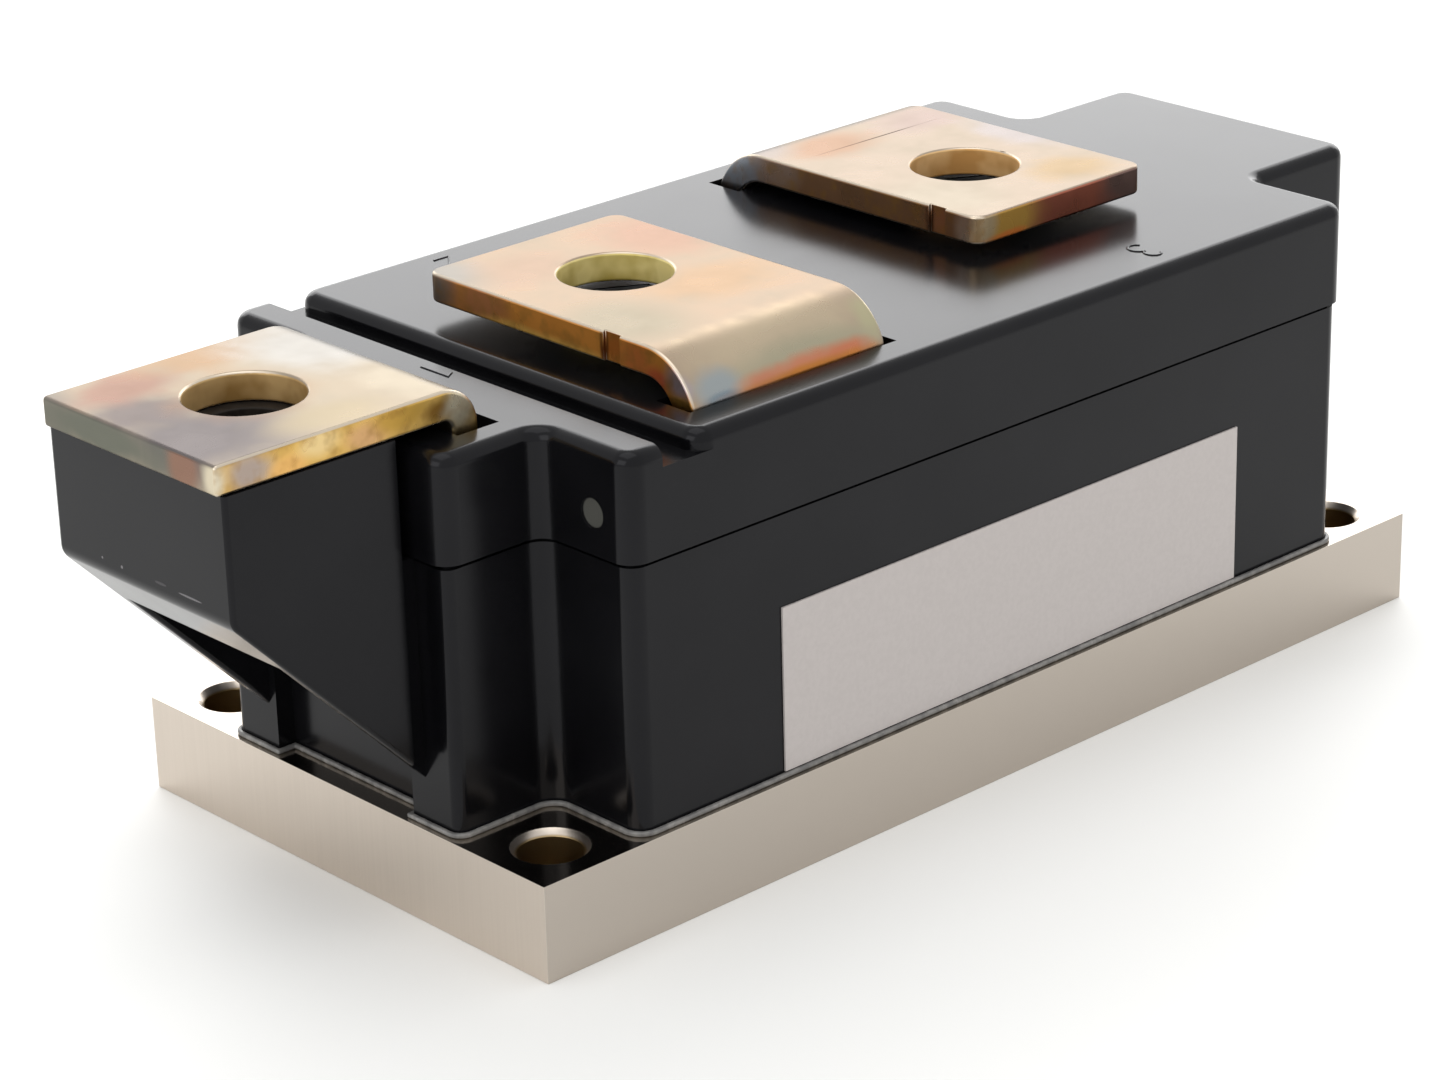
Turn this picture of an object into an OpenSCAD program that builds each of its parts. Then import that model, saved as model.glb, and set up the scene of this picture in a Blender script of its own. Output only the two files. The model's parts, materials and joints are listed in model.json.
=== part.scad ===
// Dual power diode module with an insulated baseplate and three screw terminals.
// Millimetres. X runs along the module, terminal 1 at -X, the label side at -Y.
// The origin is the centre of the baseplate's underside.

/* [Baseplate] */
// Length of the baseplate
base_l = 124; // [120:0.5:140]
// Width of the baseplate
base_w = 60; // [59:0.5:70]
// Thickness of the baseplate
base_t = 9.9; // [8:0.1:14]
// Distance of the mounting holes from the plate's edges
hole_edge = 6; // [5:0.1:7]
// Diameter of a mounting hole
hole_d = 6.4; // [5:0.1:7]
// Chamfer at the mouth of a mounting hole
hole_chamfer = 0.65; // [0.2:0.05:1]

/* [Housing] */
// Margin of the baseplate round the housing
foot_margin = 1; // [0.7:0.1:1.5]
// Depth of the corner notches at the front, along the module
front_notch_l = 11.7; // [10.5:0.1:12.5]
// Depth of the corner notches at the rear, along the module
rear_notch_l = 10; // [9:0.1:12.5]
// Gap between the upright strip of terminal 1 and the side walls beside it
front_gap = 0.8; // [0.4:0.1:1.2]
// Width of the corner notches at the rear
rear_notch_w = 13; // [11:0.1:14]
// Radius of the upright outside corners
corner_r = 1.8; // [1:0.1:4]
// Radius of the upright outside corners of the front pillars
pillar_r = 1.2; // [0.6:0.1:2.2]
// Radius in the corner notches
notch_r = 2.4; // [1:0.1:4]
// Height of the frame, from the baseplate to the seam
frame_h = 27.2; // [26:0.2:29]
// Wall thickness of the frame
wall = 3.2; // [2.6:0.1:3.4]
// Thickness of the end wall behind the recess
end_wall = 2.4; // [1.6:0.1:2.6]
// Width of the recess between the front pillars
recess_w = 20.6; // [16:0.2:22]
// Depth of the recess between the front pillars
recess_d = 2; // [1:0.1:2.2]
// Width of the sealing bead round the foot
bead_w = 0.5; // [0.2:0.05:0.7]
// Height of the sealing bead
bead_h = 0.5; // [0.3:0.05:1.2]

/* [Cover] */
// How far the cover's skirt stands out over the frame
lip = 0.4; // [0.1:0.05:0.8]
// Height of the shadow gap under the cover's edge
reveal_h = 0.45; // [0.2:0.05:0.8]
// Depth of the shadow gap, as a share of the seat under the cover's skirt
reveal_share = 0.35; // [0.2:0.05:0.6]
// Thickness of the cover's skirt
cover_wall = 1.9; // [1.4:0.1:2.2]
// Thickness of the cover's top
cover_top_t = 3.9; // [3.4:0.1:5]
// Rounding of the cover's top edges
top_r = 1.4; // [0.8:0.1:2.4]
// Length of the bar behind terminal 1, from the housing's end to the groove
bar_l = 15.6; // [14:0.1:16.5]
// Width of the groove that parts the bar from the main top
groove_w = 4.1; // [2:0.1:5]
// Depth of the groove
groove_depth = 2; // [1:0.1:2.8]
// How far the rear end overhangs the foot
rear_overhang = 6.4; // [2:0.1:9]
// Height of the frame's tongue inside the cover
tongue_h = 2; // [1:0.1:4]
// Clearance between the tongue and the cover
tongue_gap = 0.2; // [0.1:0.05:0.4]
// Diameter of the mark that the mould's ejector pin leaves
ejector_d = 3; // [2:0.1:4]
// Depth of the ejector mark
ejector_depth = 0.2; // [0.1:0.05:0.4]
// Height of the ejector mark above the seam
ejector_up = 4.1; // [3:0.1:6]
// Distance of the ejector mark from the notch's middle
ejector_side = 1.4; // [0:0.1:2]

/* [Terminals] */
// Height of the terminal faces above the heat sink
terminal_z = 52; // [51:0.2:56]
// Thickness of the terminal strips
terminal_t = 3; // [2:0.1:3.4]
// Gap between the terminal strips and the cover
terminal_gap = 1.2; // [0.4:0.1:1.6]
// Extra height of terminal 2, which springs up a little
terminal_2_lift = 0.4; // [0:0.1:1]
// Width of terminals 2 and 3
terminal_w = 25; // [22:0.5:26]
// Width of terminal 1
nose_terminal_w = 26; // [22:0.5:26.4]
// Distance of terminals 2 and 3 from the centre
terminal_x = 24.5; // [23:0.1:26]
// Distance of the screw hole of terminal 1 in front of the housing's foot
nose_hole_out = 8.5; // [8:0.1:10]
// Distance from the screw hole of terminal 1 to its tip
nose_end = 13.1; // [12:0.1:15]
// Distance from the screw holes of terminals 2 and 3 to their free ends
free_end = 13.8; // [11:0.1:15]
// Diameter of the screw holes
terminal_hole_d = 11.4; // [10.2:0.1:12]
// Inner bend radius of terminals 2 and 3
bend_r = 3.8; // [1:0.1:5]
// Inner bend radius of terminal 1
nose_bend_r = 1; // [0.5:0.1:1.5]
// Gap between the upright strips of terminals 2 and 3 and the side walls
side_gap = 1.1; // [1:0.1:2.4]
// Gap between the upright strip of terminal 1 and the end wall
end_gap = 0.6; // [0.3:0.1:1]
// Width of the upright strips inside the housing
neck_w = 20; // [16:0.5:22]
// Clearance round the strips in the cover's slots
slot_gap = 0.3; // [0.2:0.05:0.5]
// Clearance at the ends of the cover's slots
slot_end_gap = 0.9; // [0.4:0.1:1.4]
// Free width of the slot behind terminal 1
slot_back = 1.6; // [0.4:0.1:2]
// Depth of the wide part of terminals 2 and 3 below the cover's top
shoulder_depth = 2; // [1:0.1:3]
// Length of the location notches in the edges of terminals 2 and 3
edge_notch_l = 2.3; // [1.5:0.1:4]
// Depth of the location notches
edge_notch_d = 0.4; // [0.2:0.1:0.8]
// Distance of terminal 2's location notch, near the bend, from the screw hole
bend_notch_y = 13.3; // [12:0.1:14.5]
// Distance of terminal 3's location notch, near the free end, from the screw hole
tip_notch_y = 8; // [7:0.1:9]
// Radius of the corners at the free ends
tip_r = 1.6; // [0.5:0.1:3]

/* [Nose] */
// How far the nose stands out on each side of terminal 1
nose_side = 0.2; // [0:0.05:1]
// How far the nose's front stands back from the terminal's tip
nose_setback = 0.6; // [0.2:0.1:1.5]
// Height of the nose's front face
nose_face_h = 12.5; // [10:0.5:14]
// Radius between the nose's front face and its sloped underside
nose_r = 2; // [0.5:0.1:3]
// Slope of the nose's underside, in degrees
nose_slope = 46; // [42:0.5:48]
// Gap between the nose and the cover
nose_gap = 1.5; // [0.8:0.1:2]
// Thickness of the nose's side walls
nose_wall = 2; // [1.4:0.1:2.5]
// Length of the closed front part of the nose's underside
nose_toe = 6.1; // [5:0.1:8]
// Thickness of the floor under the nose's nut
nose_floor = 4.5; // [2:0.1:5]
// How far the neck behind the nose is narrower on each side
neck_step = 0.8; // [0.4:0.1:1]
// Gap between the neck and the cover above it
neck_gap = 0.2; // [0.1:0.05:0.4]

/* [Nuts] */
// Width of the nuts across flats
nut_af = 17; // [16:0.1:17.5]
// Height of the nuts
nut_h = 8; // [6:0.1:9]
// Core diameter of the nuts' thread
nut_core_d = 8.5; // [8:0.1:9]
// Clearance round the nuts in their pockets
nut_gap = 0.15; // [0.1:0.05:0.3]
// Free depth under the nuts for the screw's end
bolt_space = 3.5; // [2:0.1:4]
// Diameter of that free space
bolt_space_d = 10.4; // [10:0.1:11]
// Wall round the nut pockets
pocket_wall = 2.4; // [1.5:0.1:3]
// Floor under the nut pockets in the cover
pocket_floor = 2; // [1.5:0.1:3]
// Wall behind the nut in the nose
nut_wall = 1.4; // [1:0.1:1.6]
// Clearance between that wall and the cover
nut_wall_gap = 0.4; // [0.2:0.05:0.6]

/* [Label] */
// Length of the rating label
label_l = 65.4; // [40:0.2:80]
// Height of the rating label
label_h = 16.9; // [10:0.1:20]
// Distance of the label's middle from the module's middle
label_x = 1.9; // [-5:0.1:5]
// Gap between the sealing bead and the label
label_gap = 0.1; // [0.1:0.05:3]
// Thickness of the label
label_t = 0.2; // [0.1:0.05:0.3]

/* [Diode stacks] */
// Diameter of the ceramic insulators
ceramic_d = 44; // [42:0.2:44.6]
// Thickness of the ceramic insulators
ceramic_t = 2; // [1:0.1:2.4]
// Gap between the two ceramic insulators
ceramic_gap = 1; // [0.4:0.1:1.4]
// Diameter of the diode cells
cell_d = 35; // [30:0.5:36]
// Thickness of the molybdenum disc in a cell
disc_t = 1.8; // [1.4:0.1:2]
// Thickness of the silicon wafer on the disc
wafer_t = 0.8; // [0.4:0.1:1]
// Width of the rubber ring round a cell
ring_w = 1.9; // [1:0.1:2]
// Clearance between a cell and its ring
ring_gap = 0.1; // [0.05:0.05:0.2]
// How far a ring stays below the top of its cell
ring_drop = 0.2; // [0.1:0.05:0.4]
// Diameter of the contact pads on the cells
contact_d = 30; // [24:0.5:32]
// Floor thickness of the insulating caps
cap_t = 3; // [2:0.1:3.4]
// Clearance round the cap's pin in the disc springs
pin_gap = 0.2; // [0.1:0.05:0.4]
// How far the cap's pin stays below the clamp plate
pin_drop = 0.5; // [0.2:0.1:1]
// Outer diameter of the disc springs
spring_d = 28; // [22:0.5:29]
// Diameter of the hole in the disc springs
spring_bore = 14.2; // [12:0.2:16]
// Thickness of the disc springs
spring_t = 1.5; // [1:0.1:1.7]
// Cone height of the disc springs
spring_cone = 1.1; // [0.6:0.1:1.2]
// Thickness of the clamp plate
clamp_t = 4; // [3:0.1:4.4]
// Width of the clamp plate over the cells
clamp_w = 31; // [28:0.5:34]
// Diameter of the clamp screws
screw_d = 5; // [4:0.1:5.2]
// Clearance round the screws in the clamp plate
screw_gap = 0.2; // [0.1:0.05:0.3]
// Gap between the middle clamp screws and the strip of terminal 1
middle_gap = 1.5; // [0.6:0.1:2]
// Diameter of the screw heads
screw_head_d = 8.5; // [7:0.1:8.8]
// Height of the screw heads
screw_head_h = 5; // [3:0.1:5.4]
// Depth of the tapped holes in the baseplate
screw_hole_depth = 7; // [5:0.1:7.4]
// Free depth below the screws in the tapped holes
screw_end_gap = 0.5; // [0.2:0.1:1]
// Distance from the screw heads to the housing
screw_clear = 0.4; // [0.3:0.05:0.6]
// Margin of the clamp plate round the screw heads
ear_margin = 0.2; // [0.1:0.05:0.3]
// Width across flats of the sockets in the screw heads
socket_af = 4; // [3:0.1:4.5]

/* [Hidden] */
$fn = 64;
eps = 0.01;
far = 200;
join = 1;
screw_hole_gap = 0.05;
inside_r = 0.6;

// Outline of the housing
end_reach = base_l / 2 - foot_margin;
body_front = end_reach - front_notch_l;
body_rear = end_reach - rear_notch_l;
body_l = body_front + body_rear;
body_x = (body_rear - body_front) / 2;
body_w = base_w - 2 * foot_margin;
front_w = nose_terminal_w + 2 * (front_gap + wall);
front_notch_w = (body_w - front_w) / 2;
rear_w = body_w - 2 * rear_notch_w;
rear_reach = end_reach + rear_overhang;
groove_x = end_reach - bar_l;
main_x = groove_x - groove_w;
reveal_d = (cover_wall - lip) * reveal_share;
recess_x = end_reach - recess_d;
hole_x = base_l / 2 - hole_edge;
hole_y = base_w / 2 - hole_edge;

// Levels from the heat sink upwards
seam_z = base_t + frame_h;
strip_z = terminal_z - terminal_t;
cover_z = strip_z - terminal_gap;
groove_z = cover_z - groove_depth;
cavity_z = cover_z - cover_top_t;
bus_z = base_t + ceramic_t;
cell_z = bus_z + terminal_t;
cell_t = disc_t + wafer_t;
contact_z = cell_z + cell_t;
cap_z = contact_z + terminal_t;
spring_z = cap_z + cap_t;
spring_h = spring_t + spring_cone;
clamp_z = spring_z + 2 * spring_h;
head_z = clamp_z + clamp_t;

// Diode stacks
stack_x = (ceramic_d + ceramic_gap) / 2;
pad_d = cell_d + 2 * (ring_gap + ring_w);
bus_end = stack_x + pad_d / 2;

// Upright strips of the terminals, and how far a bend leans in at the level of the cover
riser_x = recess_x - end_wall - end_gap;
riser_y = body_w / 2 - wall - side_gap;
lean = bend_r - sqrt(pow(bend_r, 2) - pow(max(bend_r - terminal_gap, 0), 2));

// Nose and terminal 1
nose_hole_x = end_reach + nose_hole_out;
front_reach = nose_hole_x + nose_end;
nose_w = nose_terminal_w + 2 * nose_side;
nose_front = front_reach - nose_setback;
nose_back = end_reach + lip + nose_gap;
nose_lip_z = strip_z - nose_face_h;

// Nuts and their pockets
pocket_af = nut_af + 2 * nut_gap;
boss_d = pocket_af / cos(30) + 2 * pocket_wall;
boss_z = cover_z - nut_h - bolt_space - pocket_floor;
nut_wall_x = nose_hole_x - pocket_af / 2 - nut_wall;
niche_x = nut_wall_x - nut_wall_gap;
niche_w = pocket_af + 2 * nut_wall_gap;

// Clamp screws, at the corners and beside the bus strip
corner_screw_x = min(body_front, body_rear) - wall - screw_head_d / 2 - screw_clear;
corner_screw_y = body_w / 2 - wall - screw_head_d / 2 - screw_clear;
middle_screw_y = nose_terminal_w / 2 + middle_gap + screw_d / 2;
ear_d = screw_head_d + 2 * ear_margin;
SCREWS = concat(
    [for (sx = [-1, 1], sy = [-1, 1]) [sx * corner_screw_x, sy * corner_screw_y]],
    [for (sy = [-1, 1]) [0, sy * middle_screw_y]]);

// Flat shapes

module round_rect(l, w, r) {
    square([l - 2 * r, w], center = true);
    square([l, w - 2 * r], center = true);
    for (sx = [-1, 1], sy = [-1, 1])
        translate([sx * (l / 2 - r), sy * (w / 2 - r)])
            circle(r);
}

// A square with a quarter circle taken out, which rounds an inside corner at the origin
module corner_fill(r) {
    difference() {
        square(r);
        translate([r, r])
            circle(r);
    }
}

// Plan of the end block on one side, reaching from the centre to its outer face
module end_plan(side, reach, w, r) {
    translate([side * reach / 2, 0])
        intersection() {
            translate([-side * reach / 2, 0])
                round_rect(2 * reach, w, r);
            square([reach, w], center = true);
        }
}

// Plan of the housing between its two end faces, grown outwards by g
module plan(g, front, rear) {
    r = max(corner_r + g, inside_r);
    fill = max(notch_r - g, inside_r);
    translate([body_x, 0])
        round_rect(body_l + 2 * g, body_w + 2 * g, r);
    end_plan(-1, front + g, front_w + 2 * g, max(pillar_r + g, inside_r));
    end_plan(1, rear + g, rear_w + 2 * g, r);
    both_sides() {
        translate([-body_front - g, front_w / 2 + g])
            mirror([1, 0])
                corner_fill(fill);
        translate([body_rear + g, rear_w / 2 + g])
            corner_fill(fill);
    }
}

// Draws a shape on the +Y side and its mirror image on the -Y side
module both_sides() {
    children();
    mirror([0, 1, 0])
        children();
}

// Plan of the frame's foot: the housing with the recess between the front pillars
module foot_plan(g) {
    difference() {
        plan(g, end_reach, end_reach);
        translate([-recess_x - g - far, -recess_w / 2 + g])
            square([far, recess_w - 2 * g]);
    }
}

// Plan of the space inside the frame
module inner_plan() {
    plan(-wall, recess_x - end_wall + wall, end_reach);
}

// Plan of the space inside the cover, drawn in by g
module cavity_plan(g) {
    difference() {
        plan(lip - cover_wall - g, end_reach, rear_reach);
        niche_zone(cover_wall + g);
    }
}

// Plan of the niche in the cover's front that takes the wall behind the nose's nut, grown by g
module niche_zone(g) {
    translate([g - niche_x - far, -niche_w / 2 - g])
        square([far, niche_w + 2 * g]);
}

// Half of an upright section with a rounded top outer edge
module soft_half(w, h, r) {
    intersection() {
        union() {
            square([w, h - r]);
            square([w - r, h]);
            translate([w - r, h - r])
                circle(r);
        }
        square([w, h]);
    }
}

module soft_section(w, h, r) {
    soft_half(w / 2, h, r);
    mirror([1, 0])
        soft_half(w / 2, h, r);
}

// Moulded block with upright corners of radius c and a top edge rounded by r
module soft_block(l, w, h, c, r) {
    rotate([90, 0, 0])
        linear_extrude(w - 2 * c, center = true)
            soft_section(l, h, r);
    rotate([90, 0, 90])
        linear_extrude(l - 2 * c, center = true)
            soft_section(w, h, r);
    for (sx = [-1, 1], sy = [-1, 1])
        translate([sx * (l / 2 - c), sy * (w / 2 - c), 0])
            rotate_extrude()
                soft_half(c, h, r);
}

// Fills the inside corner of a notch up to height h, its top edge rounded by r
module notch_fill(c, h, r) {
    difference() {
        translate([-r, -r, 0])
            cube([c + r, c + r, h]);
        translate([c, c, 0])
            rotate_extrude()
                difference() {
                    square([c + r, h + eps]);
                    translate([c, -eps])
                        soft_wall(r, h + eps);
                }
    }
}

// Section of a wall that rounds back at its top
module soft_wall(r, h) {
    square([r + join, h - r]);
    translate([r, h - r])
        intersection() {
            circle(r);
            translate([-r, 0])
                square(r);
        }
}

// Quarter bend of a strip in its side view, from +X round to +Y
module bend(r, t) {
    intersection() {
        difference() {
            circle(r + t);
            circle(r);
        }
        square(r + t);
    }
}

// Pieces

module baseplate() {
    color("tan")
        difference() {
            translate([-base_l / 2, -base_w / 2, 0])
                cube([base_l, base_w, base_t]);
            for (sx = [-1, 1], sy = [-1, 1])
                translate([sx * hole_x, sy * hole_y, 0])
                    mounting_hole();
            for (p = SCREWS)
                translate([p[0], p[1], base_t - screw_hole_depth])
                    cylinder(d = screw_d + 2 * screw_hole_gap, h = far);
        }
}

module mounting_hole() {
    translate([0, 0, -eps])
        cylinder(d = hole_d, h = base_t + 2 * eps);
    translate([0, 0, base_t - hole_chamfer])
        cylinder(d1 = hole_d, d2 = hole_d + 2 * (hole_chamfer + eps), h = hole_chamfer + eps);
}

module housing_frame() {
    color("dimgray") {
        difference() {
            union() {
                translate([0, 0, base_t])
                    linear_extrude(frame_h)
                        foot_plan(0);
                rear_corbel();
            }
            shadow_gap();
            translate([0, 0, base_t - eps])
                linear_extrude(frame_h + 2 * eps)
                    inner_plan();
        }
        tongue();
        nose();
    }
}

// Sloped end wall that carries the cover's overhanging rear block
module rear_corbel() {
    rise = rear_reach - end_reach;
    intersection() {
        translate([0, 0, base_t])
            linear_extrude(frame_h)
                end_plan(1, rear_reach, rear_w, corner_r);
        rotate([90, 0, 0])
            linear_extrude(rear_w, center = true)
                polygon([[end_reach - corner_r - eps, seam_z - rise - corner_r],
                         [rear_reach + eps, seam_z + eps],
                         [end_reach - corner_r - eps, seam_z + eps]]);
    }
}

// Groove round the frame's top edge, which shows as a dark line under the cover
module shadow_gap() {
    translate([0, 0, seam_z - reveal_h])
        linear_extrude(reveal_h + eps)
            difference() {
                plan(join, end_reach, rear_reach);
                plan(-reveal_d, end_reach, rear_reach);
            }
}

// Tongue that locates the cover, left out behind the nose
module tongue() {
    gap_w = niche_w + 2 * (cover_wall + tongue_gap);
    translate([0, 0, seam_z - eps])
        linear_extrude(tongue_h + eps)
            difference() {
                cavity_plan(tongue_gap);
                plan(-wall, end_reach, rear_reach);
                translate([-far, -gap_w / 2])
                    square([far, gap_w]);
            }
}

// Nose under terminal 1, hollow below its nut
module nose() {
    difference() {
        union() {
            nose_body();
            nose_neck();
            translate([-nose_back - eps, -pocket_af / 2, seam_z - neck_gap - eps])
                cube([nose_back - nut_wall_x + eps, pocket_af, strip_z - seam_z + neck_gap + eps]);
        }
        nose_hollow();
        translate([-nose_hole_x, 0, strip_z])
            nut_pocket();
    }
}

// Height of the sloped underside at a distance x in front of the origin
function slope_z(x) = nose_lip_z - (nose_front - x) * tan(nose_slope);

module nose_body() {
    tangent = nose_r * tan((90 - nose_slope) / 2);
    rotate([90, 0, 0])
        linear_extrude(nose_w, center = true) {
            polygon([[-nose_front, strip_z],
                     [-nose_front, nose_lip_z + tangent],
                     [-nose_front + tangent * cos(nose_slope), nose_lip_z - tangent * sin(nose_slope)],
                     [-nose_back, slope_z(nose_back)],
                     [-nose_back, strip_z]]);
            translate([-nose_front + nose_r, nose_lip_z + tangent])
                circle(nose_r);
        }
}

// Narrower part that joins the nose to the end wall, below the cover
module nose_neck() {
    front = nose_back + join;
    back = recess_x - eps;
    top = seam_z - neck_gap;
    rotate([90, 0, 0])
        linear_extrude(nose_w - 2 * neck_step, center = true)
            polygon([[-front, top],
                     [-front, slope_z(front)],
                     [-back, slope_z(back)],
                     [-back, top]]);
}

module nose_hollow() {
    w = nose_w - 2 * nose_wall;
    toe = nose_front - nose_toe;
    roof = strip_z - nut_h - bolt_space - nose_floor;
    translate([-toe, -w / 2, 0])
        cube([toe - recess_x, w, roof]);
}

// Hexagonal bar with two of its flats facing along the module
module hexagon(af, h) {
    rotate(30)
        cylinder(d = af / cos(30), h = h, $fn = 6);
}

// Seat for a nut, measured down from the face that it lies flush with
module nut_pocket() {
    translate([0, 0, -nut_h])
        hexagon(pocket_af, far);
    translate([0, 0, -nut_h - bolt_space])
        cylinder(d = bolt_space_d, h = far);
}

module cover() {
    color("black")
        difference() {
            union() {
                difference() {
                    cover_shell();
                    translate([0, 0, seam_z - eps])
                        linear_extrude(cavity_z - seam_z + eps)
                            cavity_plan(0);
                    translate([0, 0, seam_z - eps])
                        linear_extrude(far)
                            niche_zone(0);
                }
                for (sx = [-1, 1])
                    translate([sx * terminal_x, 0, boss_z])
                        cylinder(d = boss_d, h = cavity_z - boss_z + join);
            }
            for (sx = [-1, 1])
                translate([sx * terminal_x, 0, cover_z])
                    nut_pocket();
            cover_slots();
            ejector_mark();
        }
}

module cover_shell() {
    c = corner_r + lip;
    w = body_w + 2 * lip;
    h = cover_z - seam_z;
    rear = rear_w + 2 * lip;
    rear_x = body_rear + lip;
    translate([0, 0, seam_z]) {
        translate([(rear_x - main_x) / 2, 0, 0])
            soft_block(rear_x + main_x, w, h, c, top_r);
        half(1, 0)
            soft_block(2 * (rear_reach + lip), rear, h, c, top_r);
        both_sides()
            translate([rear_x, rear / 2, 0])
                notch_fill(notch_r - lip, h, top_r);
        half(-1, -groove_x)
            front_bar(w, h, c);
        translate([-groove_x - join, -w / 2, 0])
            cube([groove_w + c + join, w, groove_z - seam_z]);
    }
}

// Bar that terminal 1 comes up through
module front_bar(w, h, c) {
    front = front_w + 2 * lip;
    front_x = body_front + lip;
    soft_block(2 * front_x, w, h, c, top_r);
    soft_block(2 * (end_reach + lip), front, h, c, top_r);
    both_sides()
        translate([-front_x, front / 2, 0])
            mirror([1, 0, 0])
                notch_fill(notch_r - lip, h, top_r);
}

// Keeps what lies on one side of x
module half(side, x) {
    intersection() {
        children();
        translate([side > 0 ? x : x - far, -far / 2, -eps])
            cube([far, far, far]);
    }
}

// Slots that the terminals come up through
module cover_slots() {
    w = nose_terminal_w + 2 * slot_end_gap;
    l = terminal_w + 2 * slot_end_gap;
    translate([-riser_x - slot_gap, -w / 2, cavity_z - join])
        cube([slot_gap + terminal_t + slot_back, w, far]);
    for (a = [0, 180])
        rotate(a)
            translate([-terminal_x - l / 2, -riser_y - slot_gap, cavity_z - join])
                cube([l, terminal_t + lean + 2 * slot_gap, far]);
}

// Round mark on the notch wall beside terminal 1
module ejector_mark() {
    y = (front_w + front_notch_w) / 2 + ejector_side;
    translate([-body_front - lip, -y, seam_z + ejector_up])
        rotate([0, 90, 0])
            cylinder(d = ejector_d, h = 2 * ejector_depth, center = true);
}

module sealing_bead() {
    color("gray")
        translate([0, 0, base_t])
            linear_extrude(bead_h)
                difference() {
                    foot_plan(bead_w);
                    foot_plan(0);
                }
}

module rating_label() {
    color("lightgray")
        translate([label_x - label_l / 2, -body_w / 2 - label_t, base_t + bead_h + label_gap])
            cube([label_l, label_t, label_h]);
}

// Terminal 1: the strip under both cells, up the end wall and over the nose
module terminal_1() {
    color("peru")
        difference() {
            union() {
                rotate([90, 0, 0])
                    linear_extrude(nose_terminal_w, center = true)
                        terminal_1_side();
                for (sx = [-1, 1])
                    translate([sx * stack_x, 0, bus_z])
                        cylinder(d = pad_d, h = terminal_t);
            }
            translate([-nose_hole_x, 0, strip_z - eps])
                cylinder(d = terminal_hole_d, h = far);
        }
}

module terminal_1_side() {
    r = nose_bend_r;
    t = terminal_t;
    inner_x = -riser_x + t;
    top_bend = -riser_x - r;
    translate([inner_x + r, bus_z])
        square([bus_end - inner_x - r, t]);
    translate([inner_x + r, bus_z + t + r])
        rotate(180)
            bend(r, t);
    translate([-riser_x, bus_z + t + r])
        square([t, strip_z - r - bus_z - t - r]);
    translate([top_bend, strip_z - r])
        bend(r, t);
    translate([-front_reach, strip_z])
        square([front_reach + top_bend, t]);
}

// Terminals 2 and 3: a contact on a cell, a neck up the side wall and a strip back over the cover
// The location notch is cut into the edge at the given side, at y
module bent_terminal(lift, side, y) {
    top = strip_z + lift;
    color("chocolate")
        difference() {
            union() {
                translate([-terminal_x, 0, 0])
                    rotate([90, 0, 90])
                        linear_extrude(terminal_w, center = true)
                            upper_side(top);
                translate([-terminal_x, 0, 0])
                    rotate([90, 0, 90])
                        linear_extrude(neck_w, center = true)
                            lower_side();
                translate([-stack_x, 0, contact_z])
                    cylinder(d = contact_d, h = terminal_t);
            }
            translate([-terminal_x, 0, top - eps])
                cylinder(d = terminal_hole_d, h = far);
            for (sx = [-1, 1])
                translate([-terminal_x + sx * terminal_w / 2, free_end, top - eps])
                    mirror([sx > 0 ? 1 : 0, 0, 0])
                        mirror([0, 1, 0])
                            linear_extrude(far)
                                corner_fill(tip_r);
            edge_notch(-terminal_x + side * terminal_w / 2, y, top);
        }
}

module edge_notch(x, y, z) {
    translate([x - edge_notch_d, y - edge_notch_l / 2, z - eps])
        cube([2 * edge_notch_d, edge_notch_l, far]);
}

// Upper part of the side view, as wide as the terminal
module upper_side(top) {
    r = bend_r;
    t = terminal_t;
    shoulder = cavity_z - shoulder_depth;
    translate([-riser_y, shoulder])
        square([t, top - r - shoulder]);
    translate([-riser_y + t + r, top - r])
        rotate(90)
            bend(r, t);
    translate([-riser_y + t + r, top])
        square([riser_y - t - r + free_end, t]);
}

// Lower part of the side view, as wide as the neck
module lower_side() {
    r = nose_bend_r;
    t = terminal_t;
    translate([-riser_y, contact_z + t + r])
        square([t, cavity_z - shoulder_depth - contact_z - t - r]);
    translate([-riser_y + t + r, contact_z + t + r])
        rotate(180)
            bend(r, t);
    translate([-riser_y + t + r, contact_z])
        square([riser_y - t - r, t]);
}

module terminal_2() {
    bent_terminal(terminal_2_lift, -1, -bend_notch_y);
}

module terminal_3() {
    rotate([0, 0, 180])
        bent_terminal(0, 1, tip_notch_y);
}

module terminal_nuts() {
    color("silver") {
        translate([-nose_hole_x, 0, strip_z - nut_h])
            hex_nut();
        for (sx = [-1, 1])
            translate([sx * terminal_x, 0, cover_z - nut_h])
                hex_nut();
    }
}

module hex_nut() {
    difference() {
        hexagon(nut_af, nut_h);
        translate([0, 0, -eps])
            cylinder(d = nut_core_d, h = nut_h + 2 * eps);
    }
}

module ceramic_insulator(side) {
    color("white")
        translate([side * stack_x, 0, base_t])
            cylinder(d = ceramic_d, h = ceramic_t);
}

// Silicon wafer with a bevelled edge on its molybdenum disc
module diode_cell(side) {
    color("slategray")
        translate([side * stack_x, 0, cell_z]) {
            cylinder(d = cell_d, h = disc_t);
            translate([0, 0, disc_t])
                cylinder(d1 = cell_d, d2 = cell_d - 2 * wafer_t, h = wafer_t);
        }
}

module cell_ring(side) {
    inner = cell_d + 2 * ring_gap;
    color("firebrick")
        translate([side * stack_x, 0, cell_z])
            difference() {
                cylinder(d = pad_d, h = cell_t - ring_drop);
                translate([0, 0, -eps])
                    cylinder(d = inner, h = cell_t);
            }
}

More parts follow.
